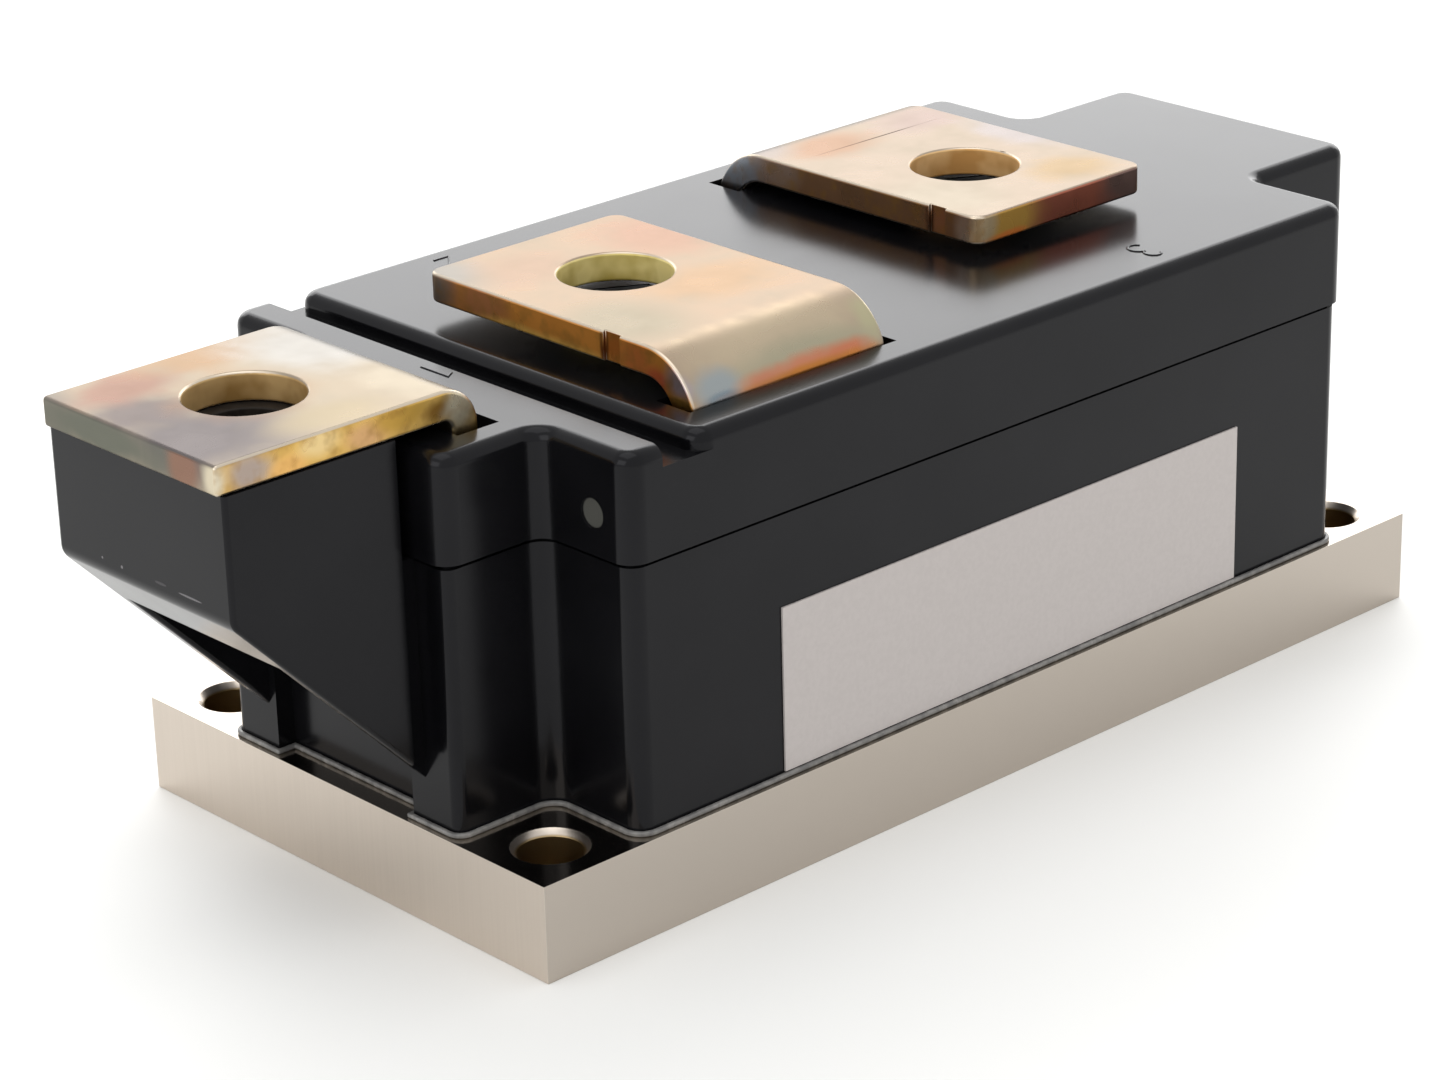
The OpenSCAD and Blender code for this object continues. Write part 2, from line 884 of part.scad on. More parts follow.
// Cap that insulates the springs from the contact, with a pin that centres them
module insulating_cap(side) {
    color("ivory")
        translate([side * stack_x, 0, cap_z]) {
            cylinder(d = contact_d, h = cap_t);
            cylinder(d = spring_bore - 2 * pin_gap, h = cap_t + 2 * spring_h - pin_drop);
        }
}

// Disc spring with its rim down, or turned over with its rim up
module disc_spring(side, turned) {
    z = spring_z + (turned ? 2 * spring_h : 0);
    color("steelblue")
        translate([side * stack_x, 0, z])
            mirror([0, 0, turned ? 1 : 0])
                rotate_extrude()
                    polygon([[spring_bore / 2, spring_cone],
                             [spring_d / 2, 0],
                             [spring_d / 2, spring_t],
                             [spring_bore / 2, spring_h]]);
}

module clamp_plate() {
    color("lightslategray")
        translate([0, 0, clamp_z])
            linear_extrude(clamp_t)
                difference() {
                    union() {
                        square([2 * corner_screw_x, clamp_w], center = true);
                        for (sx = [-1, 1])
                            translate([sx * corner_screw_x, 0])
                                square([ear_d, 2 * corner_screw_y], center = true);
                        square([ear_d, 2 * middle_screw_y], center = true);
                        for (p = SCREWS)
                            translate(p)
                                circle(d = ear_d);
                    }
                    for (p = SCREWS)
                        translate(p)
                            circle(d = screw_d + 2 * screw_gap);
                }
}

module clamp_screws() {
    color("darkgray")
        for (p = SCREWS)
            translate([p[0], p[1], head_z])
                clamp_screw();
}

module clamp_screw() {
    length = head_z - base_t + screw_hole_depth - screw_end_gap;
    difference() {
        union() {
            cylinder(d = screw_head_d, h = screw_head_h);
            translate([0, 0, -length])
                cylinder(d = screw_d, h = length + eps);
        }
        translate([0, 0, screw_head_h / 2])
            hexagon(socket_af, far);
    }
}

baseplate();
housing_frame();
cover();
sealing_bead();
rating_label();
terminal_1();
terminal_2();
terminal_3();
terminal_nuts();
ceramic_insulator(-1);  // ceramic_insulator_1
ceramic_insulator(1);  // ceramic_insulator_2
diode_cell(-1);  // diode_cell_1
diode_cell(1);  // diode_cell_2
cell_ring(-1);  // cell_ring_1
cell_ring(1);  // cell_ring_2
insulating_cap(-1);  // insulating_cap_1
insulating_cap(1);  // insulating_cap_2
disc_spring(-1, false);  // disc_spring_1
disc_spring(-1, true);  // disc_spring_2
disc_spring(1, false);  // disc_spring_3
disc_spring(1, true);  // disc_spring_4
clamp_plate();
clamp_screws();
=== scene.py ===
import json
import math

import bpy
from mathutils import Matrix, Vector


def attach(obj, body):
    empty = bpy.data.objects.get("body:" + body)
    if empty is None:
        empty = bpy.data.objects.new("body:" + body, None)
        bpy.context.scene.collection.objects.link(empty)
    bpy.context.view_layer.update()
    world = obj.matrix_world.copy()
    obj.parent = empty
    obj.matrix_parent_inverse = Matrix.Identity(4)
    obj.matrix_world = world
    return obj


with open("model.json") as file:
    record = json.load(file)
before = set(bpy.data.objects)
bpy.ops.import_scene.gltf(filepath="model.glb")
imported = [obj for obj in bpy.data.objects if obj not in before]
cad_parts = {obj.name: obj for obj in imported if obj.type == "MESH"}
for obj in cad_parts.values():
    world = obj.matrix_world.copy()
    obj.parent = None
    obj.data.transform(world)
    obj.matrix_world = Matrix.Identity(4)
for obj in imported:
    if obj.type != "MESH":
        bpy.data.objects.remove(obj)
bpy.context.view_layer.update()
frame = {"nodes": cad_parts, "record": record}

mm = 0.001
nodes = frame["nodes"]
print("frame loaded,", len(nodes), "nodes")

# the Mix node's sockets go by number, because their names repeat
mixShare, floatA, floatB, colourA, colourB = 0, 2, 3, 6, 7
mixedFloat, mixedColour = 0, 2


def linear(code):
    shares = [int(code[i:i + 2], 16) / 255 for i in (1, 3, 5)]
    return (*[c / 12.92 if c <= 0.04045 else ((c + 0.055) / 1.055) ** 2.4 for c in shares], 1.0)


# one call adds a node: its settings by property or socket, then the links into it
def add(tree, kind, settings={}, links={}):
    node = tree.nodes.new(kind)
    for key, value in settings.items():
        if key == "ramp":
            for stop, (place, colour) in zip(node.color_ramp.elements, value):
                stop.position = place
                stop.color = linear(colour)
        elif key in ("from", "to"):  # both ends of a range
            for end, limit in zip((" Min", " Max"), value):
                node.inputs[key.title() + end].default_value = limit
        elif isinstance(key, str) and hasattr(node, key):
            setattr(node, key, value)
        else:
            node.inputs[key].default_value = linear(value) if str(value).startswith("#") else value
    for key, source in links.items():
        tree.links.new(source, node.inputs[key])
    return node.outputs


def startMaterial(name, settings):
    material = bpy.data.materials.new(name)
    material.use_nodes = True
    tree = material.node_tree
    shader = tree.nodes["Principled BSDF"]
    for key, value in settings.items():
        shader.inputs[key].default_value = linear(value) if isinstance(value, str) else value
    return material, tree, shader


def feed(tree, shader, sources):
    for socket, source in sources.items():
        tree.links.new(source, shader.inputs[socket])


# a grain size in millimetres, as the scale of a unit pattern
def perMetre(size):
    return 1 / (size * mm)


# a place seen from a middle, counted in reaches along each axis
def offset(tree, place, middle, reach):
    start = [v * mm for v in middle]
    scale = [perMetre(v) for v in reach]
    shifted = add(tree, "ShaderNodeVectorMath", {"operation": "SUBTRACT", 1: start}, {0: place})[0]
    return add(tree, "ShaderNodeVectorMath", {"operation": "MULTIPLY", 1: scale}, {0: shifted})[0]


def distance(tree, place, middle, reach):
    away = offset(tree, place, middle, reach)
    return add(tree, "ShaderNodeVectorMath", {"operation": "LENGTH"}, {0: away})["Value"]


# how far a place lies from an upright axis, in metres
def fromAxis(tree, place, axis):
    flat = add(tree, "ShaderNodeVectorMath", {"operation": "MULTIPLY", 1: (1, 1, 0)}, {0: place})[0]
    foot = (axis[0] * mm, axis[1] * mm, 0)
    return add(tree, "ShaderNodeVectorMath", {"operation": "DISTANCE", 1: foot}, {0: flat})["Value"]


# a direction's share along each axis, without its sign
def sizeAlong(tree, direction):
    size = add(tree, "ShaderNodeVectorMath", {"operation": "ABSOLUTE"}, {0: direction})[0]
    return add(tree, "ShaderNodeSeparateXYZ", {}, {0: size})


# tones laid over a colour one after the other, each by its share
def layOver(tree, colour, layers):
    for share, tone in layers:
        laid = {"data_type": "RGBA", colourB: tone}
        colour = add(tree, "ShaderNodeMix", laid, {mixShare: share, colourA: colour})[mixedColour]
    return colour


# nickel plate on a milled copper bar: warm grey mirror on top, fine upright streaks on the sides;
# the real streaks are finer and are drawn 0.3 mm wide, so that they show
nickel = {
    "tones": ("#cfc4b8", "#d2c7bb"), "toneStops": (0.3, 0.7),
    # painted shade: the top is a shade darker, to hold down its reflection of the back light, and the long
    # sides are darker than the ends
    "paintedShadeTopTone": "#bfb5a9", "paintedShadeLongSideTone": "#bcb3a9",
    # the normal's shares at which a face starts to count and counts fully
    "top": (0.7, 0.95), "longSide": (0.6, 0.8),
    "holeTone": "#a8926c", "holeRim": (1.06, 1.01),  # in radii of the hole
    "sideRoughness": (0.31, 0.33), "topRoughness": (0.1, 0.16),
    "streak": (0.3, 0.3, 14.0), "cloud": 16.0, "bump": 0.0007, "bumpHeight": 0.02,
}


def nickelPlate():
    look = nickel
    material, tree, shader = startMaterial("nickelPlatedCopperMilled", {"Metallic": 1.0})
    place = add(tree, "ShaderNodeTexCoord")["Object"]
    atPlace = {"Vector": place}
    towards = sizeAlong(tree, add(tree, "ShaderNodeNewGeometry")["Normal"])
    isTop = add(tree, "ShaderNodeMapRange", {"from": look["top"]}, {"Value": towards["Z"]})[0]
    shadedLongSide = add(tree, "ShaderNodeMapRange", {"from": look["longSide"]}, {"Value": towards["Y"]})[0]
    # the four mounting holes, folded into one corner
    holes = [m for m in frame["record"]["mounts"] if m["name"] == "mounting_holes"][0]["dims"]
    corner = (holes["spacing_x_mm"] / 2, holes["spacing_y_mm"] / 2)
    folded = add(tree, "ShaderNodeVectorMath", {"operation": "ABSOLUTE"}, {0: place})[0]
    rim = [holes["hole_r_mm"] * mm * share for share in look["holeRim"]]
    inHole = add(tree, "ShaderNodeMapRange", {"from": rim}, {"Value": fromAxis(tree, folded, corner)})[0]
    streakScale = [perMetre(size) for size in look["streak"]]
    streakPlace = add(tree, "ShaderNodeMapping", {"Scale": streakScale}, atPlace)[0]
    streak = add(tree, "ShaderNodeTexNoise", {"Scale": 1.0, "Detail": 3.0}, {"Vector": streakPlace})["Fac"]
    cloud = add(tree, "ShaderNodeTexNoise", {"Scale": perMetre(look["cloud"]), "Detail": 2.0}, atPlace)["Fac"]
    tones = zip(look["toneStops"], look["tones"])
    colour = add(tree, "ShaderNodeValToRGB", {"ramp": tones}, {0: streak})[0]
    # painted shade on the long sides and on the top, then the tone of the hole walls
    layers = [(shadedLongSide, look["paintedShadeLongSideTone"]), (isTop, look["paintedShadeTopTone"]), (inHole, look["holeTone"])]
    colour = layOver(tree, colour, layers)
    sideRough = add(tree, "ShaderNodeMapRange", {"to": look["sideRoughness"]}, {"Value": streak})[0]
    topRough = add(tree, "ShaderNodeMapRange", {"to": look["topRoughness"]}, {"Value": cloud})[0]
    byFace = {mixShare: isTop, floatA: sideRough, floatB: topRough}
    rough = add(tree, "ShaderNodeMix", {"data_type": "FLOAT"}, byFace)[mixedFloat]
    relief = {"Strength": look["bump"], "Distance": look["bumpHeight"] * mm}
    bump = add(tree, "ShaderNodeBump", relief, {"Height": streak})[0]
    feed(tree, shader, {"Base Color": colour, "Roughness": rough, "Normal": bump})
    return material


# glass-filled polyester, moulded black: semi-gloss skin with a fine grain, slow clouds and some pale specks;
# the real grain is finer and is drawn 0.6 mm wide, so that it shows
plastic = {
    "shader": {"IOR": 1.3, "Specular Tint": "#f9f9ff"},
    "tones": ("#09090b", "#0e0e10"), "toneStops": (0.35, 0.65),
    "roughness": (0.17, 0.21), "roughnessStops": (0.3, 0.7),
    "grain": 0.6, "cloud": 12.0, "bump": 0.015, "bumpHeight": 0.03,
    "speckTone": "#5a5856", "speckSpacing": 11.0, "speckStrength": 0.8,
    "speckRim": (0.014, 0.007),  # in spacings
    # middle and reach in millimetres, tone: the ejector pin's mark on the notch wall, then scuffs on the nose
    "marks": [
        ((-49.7, -24.4, 41.2), (1.5, 1.5, 1.5), "#4a4a46"),
        ((-82.0, 3.3, 37.8), (0.5, 0.17, 0.17), "#6a686a"),
        ((-82.0, 6.3, 37.9), (0.5, 0.13, 0.13), "#6a686a"),
        ((-82.0, -2.6, 37.9), (0.5, 0.9, 0.14), "#3a383a"),
        ((-82.0, -7.0, 37.8), (0.5, 1.8, 0.11), "#656365"),
    ],
    "markRim": (1.0, 0.9),  # in reaches
}


def blackMoulding():
    look = plastic
    material, tree, shader = startMaterial("blackPolyesterMoulded", look["shader"])
    place = add(tree, "ShaderNodeTexCoord")["Object"]
    atPlace = {"Vector": place}
    grain = add(tree, "ShaderNodeTexNoise", {"Scale": perMetre(look["grain"]), "Detail": 2.0}, atPlace)["Fac"]
    cloud = add(tree, "ShaderNodeTexNoise", {"Scale": perMetre(look["cloud"]), "Detail": 3.0}, atPlace)["Fac"]
    tones = zip(look["toneStops"], look["tones"])
    colour = add(tree, "ShaderNodeValToRGB", {"ramp": tones}, {0: cloud})[0]
    cells = {"Scale": perMetre(look["speckSpacing"]), "Randomness": 1.0}
    speck = add(tree, "ShaderNodeTexVoronoi", cells, atPlace)["Distance"]
    speckShare = {"from": look["speckRim"], "to": (0.0, look["speckStrength"])}
    layers = [(add(tree, "ShaderNodeMapRange", speckShare, {"Value": speck})[0], look["speckTone"])]
    for middle, reach, tone in look["marks"]:
        away = distance(tree, place, middle, reach)
        onMark = add(tree, "ShaderNodeMapRange", {"from": look["markRim"]}, {"Value": away})[0]
        layers.append((onMark, tone))
    colour = layOver(tree, colour, layers)
    roughness = {"from": look["roughnessStops"], "to": look["roughness"]}
    rough = add(tree, "ShaderNodeMapRange", roughness, {"Value": cloud})[0]
    relief = {"Strength": look["bump"], "Distance": look["bumpHeight"] * mm}
    bump = add(tree, "ShaderNodeBump", relief, {"Height": grain})[0]
    feed(tree, shader, {"Base Color": colour, "Roughness": rough, "Normal": bump})
    return material


# tin plate on a stamped copper strip, tinted by the heat of soldering: peach and cream, with patches of
# lilac, amber and blue; a patch is its middle and reach in millimetres, its colour and its strength
strips = {
    "terminal_1": {
        "ground": "#a0927f", "edge": "#d8b060", "edgeAxis": "Y",
        "hole": (-69.5, 0.0), "wall": ("#9c7a46", "#c4a470"),
        # on this top the patches are heat tint and painted reflection together
        "patches": [
            ((-79, -6, 52), (13, 12, 4), "#716b6a", 1.0),
            ((-79, 3, 52), (7, 6, 4), "#726a68", 0.9),
            ((-83, 12, 51), (4, 6, 4), "#817b75", 0.8),
            ((-76, 9, 52), (8, 5, 3), "#93766a", 0.9),
            ((-66, 11, 52), (9, 5, 3), "#9f846a", 0.8),
            ((-58, 6, 52), (8, 11, 4), "#a9a59f", 1.0),
            ((-57, -8, 52), (5, 8, 3), "#ada392", 0.8),
            ((-70, 0, 52), (8.2, 8.2, 3), "#95765c", 0.55),
            ((-68, -10, 52), (8, 4, 2), "#a0937b", 0.7),
        ],
        "edgePatches": [
            ((-82.6, 4, 50.5), (1.2, 16, 3), "#717268", 1.0),
            ((-82.6, -8.5, 50.5), (1.2, 3, 3), "#94705f", 0.8),
            ((-82.6, -12.6, 50.5), (1.6, 1.8, 3), "#d3c8b0", 1.0),
            ((-79, -13, 50.5), (3.2, 1.2, 2.4), "#a39692", 0.9),
            ((-74.6, -13, 49.6), (2.6, 1.2, 1.6), "#e4b068", 0.8),
            ((-71, -13, 51), (3, 1.2, 1.6), "#e8ce96", 0.8),
            ((-66, -13, 50.2), (3, 1.2, 1.6), "#cd9e76", 0.7),
            ((-62, -13, 51), (4, 1.2, 1.6), "#bc9440", 0.9),
            ((-57.5, -13, 50.4), (2.2, 1.4, 1.2), "#8a6428", 0.9),
            ((-55, -13, 50), (2.6, 1.4, 3), "#d8d0b8", 0.9),
            ((-70, 13, 50.5), (11, 1.2, 2.2), "#b99a70", 0.9),
            ((-58, 13, 50.5), (6, 1.4, 3), "#a89a88", 0.9),
        ],
        "dullPatches": [((-68, -13, 50.5), (18, 1.2, 3), 0.4)],
    },
    "terminal_2": {
        "ground": "#a88d77", "edge": "#d28c3e", "edgeAxis": "X",
        "hole": (-24.5, 0.0), "wall": ("#bca858", "#ecdc98"),
        "patches": [
            ((-37, 12, 52), (6, 8, 4), "#938f89", 0.9),
            ((-30, 7, 52), (7, 6, 4), "#a58e7d", 0.7),
            ((-14, 5, 52), (8, 9, 4), "#a88978", 0.8),
            ((-20, -9, 52), (10, 6, 4), "#aa8f74", 0.8),
            ((-34, -12, 52), (8, 9, 5), "#978e7d", 0.9),
            ((-24, -22.5, 50), (17, 6, 5), "#bdad94", 1.0),
            ((-22, -23.9, 49.0), (15, 3, 2.2), "#a49f88", 0.8),
            ((-12.6, -22.6, 50.2), (2.4, 3, 3), "#b6b390", 0.7),
            ((-33.4, -23.8, 48.9), (3.8, 3, 2.2), "#97a1a6", 0.85),
            ((-33, -24.4, 47.8), (3, 1.5, 0.7), "#788690", 0.8),
            ((-27.5, -24.2, 48.1), (4.4, 1.6, 1.5), "#c38265", 0.95),
            ((-22.5, -24.2, 48.1), (5.5, 1.6, 1.5), "#c38265", 1.0),
            ((-17.4, -24.2, 48.1), (4.6, 1.6, 1.5), "#c47c5d", 1.0),
            ((-22.3, -24.4, 47.7), (11, 1.2, 0.8), "#bf7c3a", 0.9),
        ],
        "edgePatches": [
            ((-37, 13, 51), (1.2, 5, 4), "#6e6a66", 0.9),
            ((-37, 6, 51), (1.2, 5, 4), "#a96f4b", 0.8),
            ((-37, -4, 49.4), (1.2, 15, 1.0), "#e0b25a", 0.9),
            ((-37, -16.6, 50.5), (1.2, 3, 3), "#c4703c", 0.8),
            ((-37, -19.7, 49.3), (1.2, 2.2, 1.8), "#c8583c", 0.8),
            ((-37, -22.6, 49.9), (1.2, 2.6, 2.4), "#a39aa6", 0.9),
            ((-37, -22.6, 47.9), (1.2, 2, 0.8), "#d0a04c", 0.9),
            ((-36.8, -13.3, 51), (1.2, 1.7, 3), "#b0672c", 0.9),
            ((-36.8, -12.1, 51), (1.2, 0.5, 3), "#6b3d1c", 1.0),
        ],
        "dullPatches": [((-37, -6, 50.5), (1.2, 24, 4), 0.35)],
    },
    "terminal_3": {
        "ground": "#ab998a", "edge": "#826044", "edgeAxis": "X",
        "hole": (24.5, 0.0), "wall": ("#c99a5c", "#eac48c"),
        "patches": [
            ((20, 15, 52), (7, 5, 4), "#a6856e", 0.8),
            ((33, 15, 52), (7, 5, 4), "#a6948d", 0.8),
            ((15, -6, 52), (8, 8, 4), "#aaa090", 0.8),
            ((31, -9, 52), (6, 5, 4), "#a7906f", 0.8),
            ((37, 4, 52), (5, 9, 4), "#a69f9e", 0.8),
            ((25, 23, 49), (17, 5, 5), "#7e878d", 0.9),
            ((13, 20, 52), (5, 5, 4), "#9e9692", 0.7),
            ((25.3, 13.6, 52), (9.4, 0.14, 1.5), "#443329", 1.0),
        ],
        "edgePatches": [
            ((12, 22, 50), (1.2, 5, 4), "#929aa4", 0.9),
            ((12, 15, 51), (1.2, 4, 3), "#a08c80", 0.6),
            ((12, -12, 50.5), (1.6, 2, 3), "#a89484", 0.8),
            ((12.2, -8, 50.5), (1.2, 1.6, 3), "#a06a48", 0.8),
            ((12.2, -6.8, 50.5), (1.2, 0.5, 3), "#6a4a34", 1.0),
            ((25, -13.8, 50.5), (26, 1.2, 4), "#ab6652", 1.0),
            ((35, -13.8, 50.8), (6, 1.6, 4), "#7a6862", 0.9),
            ((16.4, -13.8, 50.4), (6.4, 2.0, 3.6), "#b08a3e", 0.95),
            ((13.0, -13.8, 50.9), (2.2, 2.0, 3.0), "#a89c84", 0.7),
            ((16.4, -13.8, 49.3), (3.6, 1.4, 0.6), "#c87434", 1.0),
        ],
        "dullPatches": [
            ((16.2, -13.8, 50.4), (6.0, 2.0, 4), 0.55),
            ((12, 2, 50.5), (1.2, 24, 4), 0.12),
        ],
    },
}
# what the three strips share
stripSkin = {
    "shader": {"Specular Tint": "#bcbcbc"},
    "cloudTone": "#a79c8c", "cloud": 5.0, "roughness": (0.24, 0.36), "roughnessStops": (0.3, 0.7),
    "patchRim": (1.1, 0.3), "ragged": (-0.4, 0.4),  # in reaches of the patch
    "mottleTone": "#946c30", "mottle": 1.6, "mottleStops": (0.45, 0.7), "mottleStrength": 0.5,
    # a pale painted highlight along the rounded edge where it turns to the top
    "paintedGlintTone": "#d8cbb8", "paintedGlintStrength": 0.8,
    "wallRim": (5.78, 5.73), "wallStops": (0.38, 0.6), "wallRoughness": 0.5, "wallShine": 0.4,
    "roll": (18.0, 0.7, 0.7), "bump": 0.02, "bumpHeight": 0.02,
    # the normal's shares, upwards or towards the cut edge, at which a face starts to count and counts fully
    "sideUp": (0.75, 0.5), "edgeTurn": (0.75, 0.95), "notchTurn": (0.2, 0.4), "notchUp": (0.3, 0.15),
    "glintTurn": (0.2, 0.45), "glintEnd": (0.92, 0.8), "glintUp": (0.15, 0.35),
}


def heatTintedPlate(name):
    look = strips[name]
    skin = stripSkin
    material, tree, shader = startMaterial("tinPlatedCopperTinted." + name, skin["shader"])
    place = add(tree, "ShaderNodeTexCoord")["Object"]
    atPlace = {"Vector": place}
    clouds = {"Scale": perMetre(skin["cloud"]), "Detail": 2.5, "Roughness": 0.6}
    cloud = add(tree, "ShaderNodeTexNoise", clouds, atPlace)["Fac"]
    ragged = add(tree, "ShaderNodeMapRange", {"to": skin["ragged"]}, {"Value": cloud})[0]
    towards = sizeAlong(tree, add(tree, "ShaderNodeNewGeometry")["Normal"])
    turn = {"Value": towards[look["edgeAxis"]]}
    up = {"Value": towards["Z"]}
    isSide = add(tree, "ShaderNodeMapRange", {"from": skin["sideUp"]}, up)[0]
    # the cut edge: steep faces, and upright ones that turn into a notch
    isSteep = add(tree, "ShaderNodeMapRange", {"from": skin["edgeTurn"]}, turn)[0]
    isTurned = add(tree, "ShaderNodeMapRange", {"from": skin["notchTurn"]}, turn)[0]
    isUpright = add(tree, "ShaderNodeMapRange", {"from": skin["notchUp"]}, up)[0]
    inNotch = add(tree, "ShaderNodeMath", {"operation": "MULTIPLY"}, {0: isTurned, 1: isUpright})[0]
    isEdge = add(tree, "ShaderNodeMath", {"operation": "MAXIMUM"}, {0: isSteep, 1: inNotch})[0]

    def shareOf(middle, reach, strength):
        away = distance(tree, place, middle, reach)
        uneven = add(tree, "ShaderNodeMath", {"operation": "ADD"}, {0: away, 1: ragged})[0]
        rim = {"interpolation_type": "SMOOTHSTEP", "from": skin["patchRim"], "to": (0.0, strength)}
        return add(tree, "ShaderNodeMapRange", rim, {"Value": uneven})[0]

    def sideShareOf(middle, reach, strength):
        share = shareOf(middle, reach, strength)
        return add(tree, "ShaderNodeMath", {"operation": "MULTIPLY"}, {0: share, 1: isSide})[0]

    ground = {"data_type": "RGBA", colourA: look["ground"], colourB: skin["cloudTone"]}
    colour = add(tree, "ShaderNodeMix", ground, {mixShare: cloud})[mixedColour]
    layers = [(shareOf(middle, reach, strength), tone) for middle, reach, tone, strength in look["patches"]]
    layers.append((isEdge, look["edge"]))
    for middle, reach, tone, strength in look["edgePatches"]:
        layers.append((sideShareOf(middle, reach, strength), tone))
    # the cut edges are mottled brown
    mottles = {"Scale": perMetre(skin["mottle"]), "Detail": 2.0}
    mottle = add(tree, "ShaderNodeTexNoise", mottles, atPlace)["Fac"]
    spotShare = {"from": skin["mottleStops"], "to": (0.0, skin["mottleStrength"])}
    spots = add(tree, "ShaderNodeMapRange", spotShare, {"Value": mottle})[0]
    spots = add(tree, "ShaderNodeMath", {"operation": "MULTIPLY"}, {0: spots, 1: isEdge})[0]
    layers.append((spots, skin["mottleTone"]))
    # the strip's rounded edge gets a pale painted highlight where it turns to the top
    turning = add(tree, "ShaderNodeMapRange", {"from": skin["glintTurn"]}, turn)[0]
    wornShare = {"from": skin["glintEnd"], "to": (0.0, skin["paintedGlintStrength"])}
    notTurned = add(tree, "ShaderNodeMapRange", wornShare, turn)[0]
    facesUp = add(tree, "ShaderNodeMapRange", {"from": skin["glintUp"]}, up)[0]
    paintedGlintShare = add(tree, "ShaderNodeMath", {"operation": "MULTIPLY"}, {0: turning, 1: notTurned})[0]
    paintedGlintShare = add(tree, "ShaderNodeMath", {"operation": "MULTIPLY"}, {0: paintedGlintShare, 1: facesUp})[0]
    layers.append((paintedGlintShare, skin["paintedGlintTone"]))
    colour = layOver(tree, colour, layers)
    shine = add(tree, "ShaderNodeValue")[0]
    shine.default_value = 1.0
    for middle, reach, strength in look["dullPatches"]:
        dull = sideShareOf(middle, reach, strength)
        shine = add(tree, "ShaderNodeMath", {"operation": "SUBTRACT"}, {0: shine, 1: dull})[0]
    roughness = {"from": skin["roughnessStops"], "to": skin["roughness"]}
    rough = add(tree, "ShaderNodeMapRange", roughness, {"Value": cloud})[0]
    # the wall of the screw hole is raw and rough
    wallRim = [reach * mm for reach in skin["wallRim"]]
    away = fromAxis(tree, place, look["hole"])
    onWall = add(tree, "ShaderNodeMapRange", {"from": wallRim}, {"Value": away})[0]
    wallTones = zip(skin["wallStops"], look["wall"])
    wall = add(tree, "ShaderNodeValToRGB", {"ramp": wallTones}, {0: cloud})[0]
    byWall = {mixShare: onWall, colourA: colour, colourB: wall}
    colour = add(tree, "ShaderNodeMix", {"data_type": "RGBA"}, byWall)[mixedColour]
    wallRough = {"data_type": "FLOAT", floatB: skin["wallRoughness"]}
    rough = add(tree, "ShaderNodeMix", wallRough, {mixShare: onWall, floatA: rough})[mixedFloat]
    wallShine = {"data_type": "FLOAT", floatB: skin["wallShine"]}
    shine = add(tree, "ShaderNodeMix", wallShine, {mixShare: onWall, floatA: shine})[mixedFloat]
    rollScale = [perMetre(size) for size in skin["roll"]]
    rollPlace = add(tree, "ShaderNodeMapping", {"Scale": rollScale}, atPlace)[0]
    roll = add(tree, "ShaderNodeTexNoise", {"Scale": 1.0, "Detail": 2.0}, {"Vector": rollPlace})["Fac"]
    relief = {"Strength": skin["bump"], "Distance": skin["bumpHeight"] * mm}
    bump = add(tree, "ShaderNodeBump", relief, {"Height": roll})[0]
    feed(tree, shader, {"Base Color": colour, "Metallic": shine, "Roughness": rough, "Normal": bump})
    return material


# plain finishes: two tones, a grain in millimetres, a roughness range and a bump strength;
# grains are drawn coarser than the real ones, so that they show
plainFinishes = {
    # silicone squeezed out of the joint: wet looking, slightly lumpy
    "grey_sealant": ("siliconeSealantSqueezed", {"IOR": 1.41}, ("#666564", "#868481"), 1.2, (0.16, 0.3), 0.3),
    # polyester film, die cut and blank: dull silver grey
    "label_foil": ("polyesterFilmDieCut", {"IOR": 1.57}, ("#b5aeab", "#b9b2af"), 0.5, (0.44, 0.48), 0.02),
    # zinc on turned steel: cool grey satin
    "zinc_steel": ("steelZincPlated", {"Metallic": 1.0}, ("#8f9194", "#a9abad"), 0.8, (0.3, 0.42), 0.1),
    # steel nuts, toned dull near-black: painted shade for the bottom of the terminal holes, where they sit
    "terminal_nuts": ("steelNutsPaintedShade", {"IOR": 1.3}, ("#1b1714", "#26211c"), 0.8, (0.6, 0.7), 0.1),
    # alumina, pressed and fired: chalky white
    "white_ceramic": ("aluminaFired", {"IOR": 1.76}, ("#e6e3da", "#f0eee8"), 0.6, (0.5, 0.62), 0.1),
    # molybdenum disc, lapped: dark grey satin
    "silicon_disc": ("molybdenumLapped", {"Metallic": 1.0}, ("#6f7276", "#83868a"), 0.5, (0.3, 0.4), 0.05),
    # silicone rubber, moulded: dull brick red
    "red_silicone": ("siliconeRubberMoulded", {"IOR": 1.41}, ("#8a2f20", "#9c3a28"), 0.7, (0.5, 0.6), 0.1),
    # nylon, moulded in its natural colour: waxy ivory
    "ivory_plastic": ("nylonNaturalMoulded", {"IOR": 1.53}, ("#d8ccae", "#e4dabf"), 0.7, (0.38, 0.48), 0.08),
    # spring steel, blued in the oven: dark blue grey
    "spring_steel": ("springSteelBlued", {"Metallic": 1.0}, ("#3a4250", "#4a5260"), 0.6, (0.28, 0.38), 0.08),
}
plainSkin = {"toneStops": (0.35, 0.65), "roughnessStops": (0.3, 0.7), "bumpHeight": 0.05}


